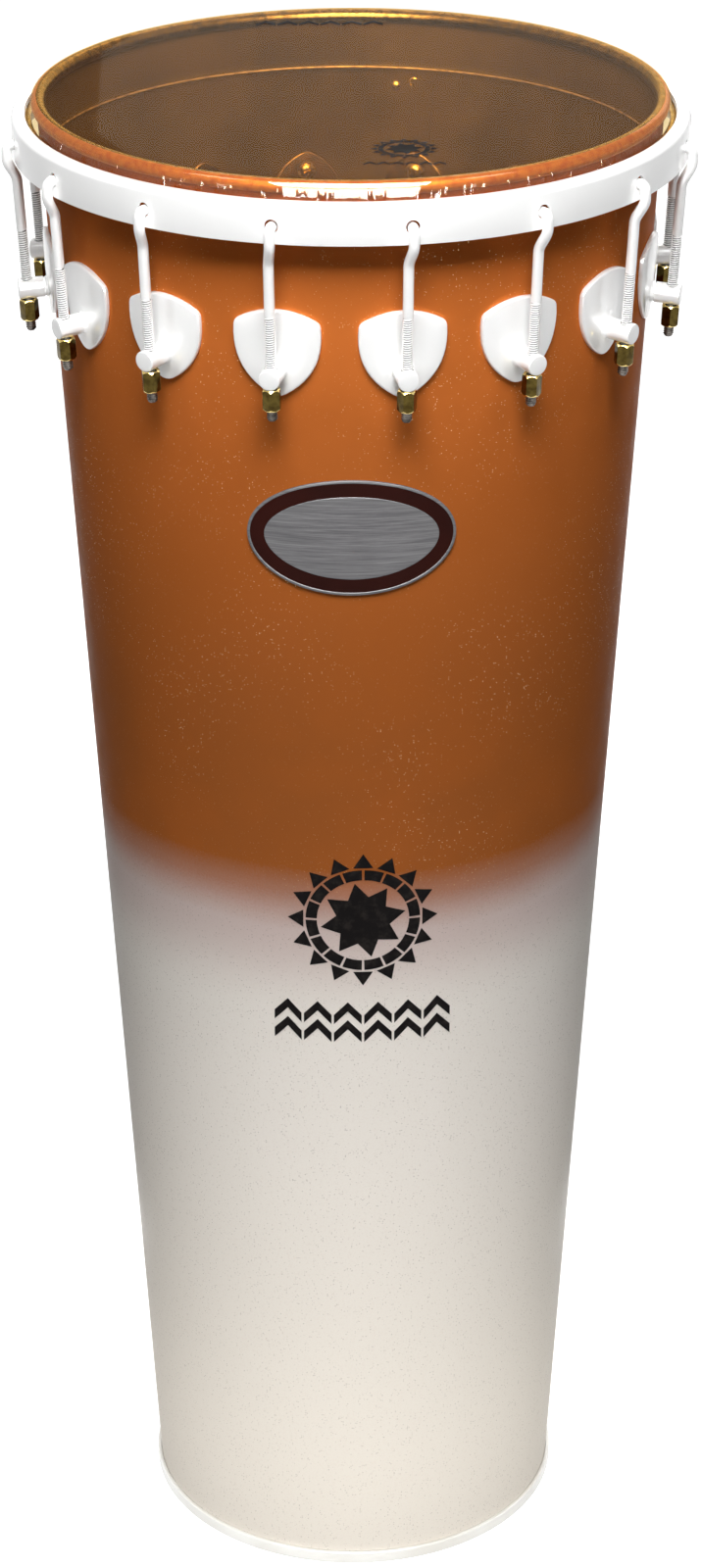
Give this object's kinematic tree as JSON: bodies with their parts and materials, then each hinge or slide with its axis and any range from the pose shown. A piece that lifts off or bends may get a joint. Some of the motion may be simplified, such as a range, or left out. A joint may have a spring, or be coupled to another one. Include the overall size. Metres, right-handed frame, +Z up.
{
  "type": "timbal drum",
  "caption": "Tall tapered metal hand drum with a clear film head, held by a white hoop on hooks and long nuts, open at its base.",
  "frame": {"origin": "middle of the base rim's underside, on the floor", "axes": "+Z up along the drum's axis, -Y towards the front with the badge"},
  "size_m": [0.382, 0.382, 0.9],
  "materials": {
    "shell_paint": "gloss paint, orange-brown above fading to pearl white below",
    "rim_paint": "gloss white paint",
    "badge_metal": "brushed",
    "hoop_paint": "gloss white paint",
    "head_film": "clear amber film",
    "flesh_hoop_metal": "satin",
    "lug_paint": "gloss white paint",
    "hook_paint": "gloss white paint",
    "nut_brass": "machined, yellow passivated"
  },
  "bodies": {
    "drum": {"shell": "shell_paint", "base_rim": "rim_paint", "badge": "badge_metal", "lug_01": "lug_paint", "lug_02": "lug_paint", "lug_03": "lug_paint", "lug_04": "lug_paint", "lug_05": "lug_paint", "lug_06": "lug_paint", "lug_07": "lug_paint", "lug_08": "lug_paint", "lug_09": "lug_paint", "lug_10": "lug_paint", "lug_11": "lug_paint", "lug_12": "lug_paint", "lug_13": "lug_paint", "lug_14": "lug_paint", "lug_15": "lug_paint", "lug_16": "lug_paint"},
    "hoop": {"tension_hoop": "hoop_paint"},
    "head": {"drumhead_film": "head_film", "flesh_hoop": "flesh_hoop_metal"},
    "hook_01_body": {"hook_01": "hook_paint"},
    "nut_01_body": {"nut_01": "nut_brass"},
    "hook_02_body": {"hook_02": "hook_paint"},
    "nut_02_body": {"nut_02": "nut_brass"},
    "hook_03_body": {"hook_03": "hook_paint"},
    "nut_03_body": {"nut_03": "nut_brass"},
    "hook_04_body": {"hook_04": "hook_paint"},
    "nut_04_body": {"nut_04": "nut_brass"},
    "hook_05_body": {"hook_05": "hook_paint"},
    "nut_05_body": {"nut_05": "nut_brass"},
    "hook_06_body": {"hook_06": "hook_paint"},
    "nut_06_body": {"nut_06": "nut_brass"},
    "hook_07_body": {"hook_07": "hook_paint"},
    "nut_07_body": {"nut_07": "nut_brass"},
    "hook_08_body": {"hook_08": "hook_paint"},
    "nut_08_body": {"nut_08": "nut_brass"},
    "hook_09_body": {"hook_09": "hook_paint"},
    "nut_09_body": {"nut_09": "nut_brass"},
    "hook_10_body": {"hook_10": "hook_paint"},
    "nut_10_body": {"nut_10": "nut_brass"},
    "hook_11_body": {"hook_11": "hook_paint"},
    "nut_11_body": {"nut_11": "nut_brass"},
    "hook_12_body": {"hook_12": "hook_paint"},
    "nut_12_body": {"nut_12": "nut_brass"},
    "hook_13_body": {"hook_13": "hook_paint"},
    "nut_13_body": {"nut_13": "nut_brass"},
    "hook_14_body": {"hook_14": "hook_paint"},
    "nut_14_body": {"nut_14": "nut_brass"},
    "hook_15_body": {"hook_15": "hook_paint"},
    "nut_15_body": {"nut_15": "nut_brass"},
    "hook_16_body": {"hook_16": "hook_paint"},
    "nut_16_body": {"nut_16": "nut_brass"}
  },
  "joints": [
    {"name": "hoop_lift", "type": "slide", "parent": "drum", "child": "hoop", "axis": [0, 0, 1], "range_m": [0, 0.006]},
    {"name": "head_lift", "type": "slide", "parent": "drum", "child": "head", "axis": [0, 0, 1], "range_m": [0, 0.006]},
    {"name": "hook_01_slide", "type": "slide", "parent": "drum", "child": "hook_01_body", "axis": [-0.0545, -0.0088, 0.9985], "range_m": [0, 0.00602]},
    {"name": "nut_01_turn", "type": "hinge", "parent": "drum", "child": "nut_01_body", "pos_m": [-0.17925, -0.02906, 0.7824], "axis": [-0.0545, -0.0088, 0.9985], "range_deg": [-1703.9, 0]},
    {"name": "hook_02_slide", "type": "slide", "parent": "drum", "child": "hook_02_body", "axis": [-0.047, -0.029, 0.9985], "range_m": [0, 0.00602]},
    {"name": "nut_02_turn", "type": "hinge", "parent": "drum", "child": "nut_02_body", "pos_m": [-0.15448, -0.09545, 0.7824], "axis": [-0.047, -0.029, 0.9985], "range_deg": [-1703.9, 0]},
    {"name": "hook_03_slide", "type": "slide", "parent": "drum", "child": "hook_03_body", "axis": [-0.0323, -0.0448, 0.9985], "range_m": [0, 0.00602]},
    {"name": "nut_03_turn", "type": "hinge", "parent": "drum", "child": "nut_03_body", "pos_m": [-0.1062, -0.1473, 0.7824], "axis": [-0.0323, -0.0448, 0.9985], "range_deg": [-1703.9, 0]},
    {"name": "hook_04_slide", "type": "slide", "parent": "drum", "child": "hook_04_body", "axis": [-0.0127, -0.0537, 0.9985], "range_m": [0, 0.00602]},
    {"name": "nut_04_turn", "type": "hinge", "parent": "drum", "child": "nut_04_body", "pos_m": [-0.04174, -0.17673, 0.7824], "axis": [-0.0127, -0.0537, 0.9985], "range_deg": [-1703.9, 0]},
    {"name": "hook_05_slide", "type": "slide", "parent": "drum", "child": "hook_05_body", "axis": [0.0088, -0.0545, 0.9985], "range_m": [0, 0.00602]},
    {"name": "nut_05_turn", "type": "hinge", "parent": "drum", "child": "nut_05_body", "pos_m": [0.02906, -0.17925, 0.7824], "axis": [0.0088, -0.0545, 0.9985], "range_deg": [-1703.9, 0]},
    {"name": "hook_06_slide", "type": "slide", "parent": "drum", "child": "hook_06_body", "axis": [0.029, -0.047, 0.9985], "range_m": [0, 0.00602]},
    {"name": "nut_06_turn", "type": "hinge", "parent": "drum", "child": "nut_06_body", "pos_m": [0.09545, -0.15448, 0.7824], "axis": [0.029, -0.047, 0.9985], "range_deg": [-1703.9, 0]},
    {"name": "hook_07_slide", "type": "slide", "parent": "drum", "child": "hook_07_body", "axis": [0.0448, -0.0323, 0.9985], "range_m": [0, 0.00602]},
    {"name": "nut_07_turn", "type": "hinge", "parent": "drum", "child": "nut_07_body", "pos_m": [0.1473, -0.1062, 0.7824], "axis": [0.0448, -0.0323, 0.9985], "range_deg": [-1703.9, 0]},
    {"name": "hook_08_slide", "type": "slide", "parent": "drum", "child": "hook_08_body", "axis": [0.0537, -0.0127, 0.9985], "range_m": [0, 0.00602]},
    {"name": "nut_08_turn", "type": "hinge", "parent": "drum", "child": "nut_08_body", "pos_m": [0.17673, -0.04174, 0.7824], "axis": [0.0537, -0.0127, 0.9985], "range_deg": [-1703.9, 0]},
    {"name": "hook_09_slide", "type": "slide", "parent": "drum", "child": "hook_09_body", "axis": [0.0545, 0.0088, 0.9985], "range_m": [0, 0.00602]},
    {"name": "nut_09_turn", "type": "hinge", "parent": "drum", "child": "nut_09_body", "pos_m": [0.17925, 0.02906, 0.7824], "axis": [0.0545, 0.0088, 0.9985], "range_deg": [-1703.9, 0]},
    {"name": "hook_10_slide", "type": "slide", "parent": "drum", "child": "hook_10_body", "axis": [0.047, 0.029, 0.9985], "range_m": [0, 0.00602]},
    {"name": "nut_10_turn", "type": "hinge", "parent": "drum", "child": "nut_10_body", "pos_m": [0.15448, 0.09545, 0.7824], "axis": [0.047, 0.029, 0.9985], "range_deg": [-1703.9, 0]},
    {"name": "hook_11_slide", "type": "slide", "parent": "drum", "child": "hook_11_body", "axis": [0.0323, 0.0448, 0.9985], "range_m": [0, 0.00602]},
    {"name": "nut_11_turn", "type": "hinge", "parent": "drum", "child": "nut_11_body", "pos_m": [0.1062, 0.1473, 0.7824], "axis": [0.0323, 0.0448, 0.9985], "range_deg": [-1703.9, 0]},
    {"name": "hook_12_slide", "type": "slide", "parent": "drum", "child": "hook_12_body", "axis": [0.0127, 0.0537, 0.9985], "range_m": [0, 0.00602]},
    {"name": "nut_12_turn", "type": "hinge", "parent": "drum", "child": "nut_12_body", "pos_m": [0.04174, 0.17673, 0.7824], "axis": [0.0127, 0.0537, 0.9985], "range_deg": [-1703.9, 0]},
    {"name": "hook_13_slide", "type": "slide", "parent": "drum", "child": "hook_13_body", "axis": [-0.0088, 0.0545, 0.9985], "range_m": [0, 0.00602]},
    {"name": "nut_13_turn", "type": "hinge", "parent": "drum", "child": "nut_13_body", "pos_m": [-0.02906, 0.17925, 0.7824], "axis": [-0.0088, 0.0545, 0.9985], "range_deg": [-1703.9, 0]},
    {"name": "hook_14_slide", "type": "slide", "parent": "drum", "child": "hook_14_body", "axis": [-0.029, 0.047, 0.9985], "range_m": [0, 0.00602]},
    {"name": "nut_14_turn", "type": "hinge", "parent": "drum", "child": "nut_14_body", "pos_m": [-0.09545, 0.15448, 0.7824], "axis": [-0.029, 0.047, 0.9985], "range_deg": [-1703.9, 0]},
    {"name": "hook_15_slide", "type": "slide", "parent": "drum", "child": "hook_15_body", "axis": [-0.0448, 0.0323, 0.9985], "range_m": [0, 0.00602]},
    {"name": "nut_15_turn", "type": "hinge", "parent": "drum", "child": "nut_15_body", "pos_m": [-0.1473, 0.1062, 0.7824], "axis": [-0.0448, 0.0323, 0.9985], "range_deg": [-1703.9, 0]},
    {"name": "hook_16_slide", "type": "slide", "parent": "drum", "child": "hook_16_body", "axis": [-0.0537, 0.0127, 0.9985], "range_m": [0, 0.00602]},
    {"name": "nut_16_turn", "type": "hinge", "parent": "drum", "child": "nut_16_body", "pos_m": [-0.17673, 0.04174, 0.7824], "axis": [-0.0537, 0.0127, 0.9985], "range_deg": [-1703.9, 0]}
  ],
  "couplings": [
    {"joint": "head_lift", "follows": "hoop_lift", "ratio": 1},
    {"joint": "hook_01_slide", "follows": "hoop_lift", "ratio": 1.0015},
    {"joint": "nut_01_turn", "follows": "hoop_lift", "rad_per_m": -4954.9},
    {"joint": "hook_02_slide", "follows": "hoop_lift", "ratio": 1.0015},
    {"joint": "nut_02_turn", "follows": "hoop_lift", "rad_per_m": -4954.9},
    {"joint": "hook_03_slide", "follows": "hoop_lift", "ratio": 1.0015},
    {"joint": "nut_03_turn", "follows": "hoop_lift", "rad_per_m": -4954.9},
    {"joint": "hook_04_slide", "follows": "hoop_lift", "ratio": 1.0015},
    {"joint": "nut_04_turn", "follows": "hoop_lift", "rad_per_m": -4954.9},
    {"joint": "hook_05_slide", "follows": "hoop_lift", "ratio": 1.0015},
    {"joint": "nut_05_turn", "follows": "hoop_lift", "rad_per_m": -4954.9},
    {"joint": "hook_06_slide", "follows": "hoop_lift", "ratio": 1.0015},
    {"joint": "nut_06_turn", "follows": "hoop_lift", "rad_per_m": -4954.9},
    {"joint": "hook_07_slide", "follows": "hoop_lift", "ratio": 1.0015},
    {"joint": "nut_07_turn", "follows": "hoop_lift", "rad_per_m": -4954.9},
    {"joint": "hook_08_slide", "follows": "hoop_lift", "ratio": 1.0015},
    {"joint": "nut_08_turn", "follows": "hoop_lift", "rad_per_m": -4954.9},
    {"joint": "hook_09_slide", "follows": "hoop_lift", "ratio": 1.0015},
    {"joint": "nut_09_turn", "follows": "hoop_lift", "rad_per_m": -4954.9},
    {"joint": "hook_10_slide", "follows": "hoop_lift", "ratio": 1.0015},
    {"joint": "nut_10_turn", "follows": "hoop_lift", "rad_per_m": -4954.9},
    {"joint": "hook_11_slide", "follows": "hoop_lift", "ratio": 1.0015},
    {"joint": "nut_11_turn", "follows": "hoop_lift", "rad_per_m": -4954.9},
    {"joint": "hook_12_slide", "follows": "hoop_lift", "ratio": 1.0015},
    {"joint": "nut_12_turn", "follows": "hoop_lift", "rad_per_m": -4954.9},
    {"joint": "hook_13_slide", "follows": "hoop_lift", "ratio": 1.0015},
    {"joint": "nut_13_turn", "follows": "hoop_lift", "rad_per_m": -4954.9},
    {"joint": "hook_14_slide", "follows": "hoop_lift", "ratio": 1.0015},
    {"joint": "nut_14_turn", "follows": "hoop_lift", "rad_per_m": -4954.9},
    {"joint": "hook_15_slide", "follows": "hoop_lift", "ratio": 1.0015},
    {"joint": "nut_15_turn", "follows": "hoop_lift", "rad_per_m": -4954.9},
    {"joint": "hook_16_slide", "follows": "hoop_lift", "ratio": 1.0015},
    {"joint": "nut_16_turn", "follows": "hoop_lift", "rad_per_m": -4954.9}
  ]
}
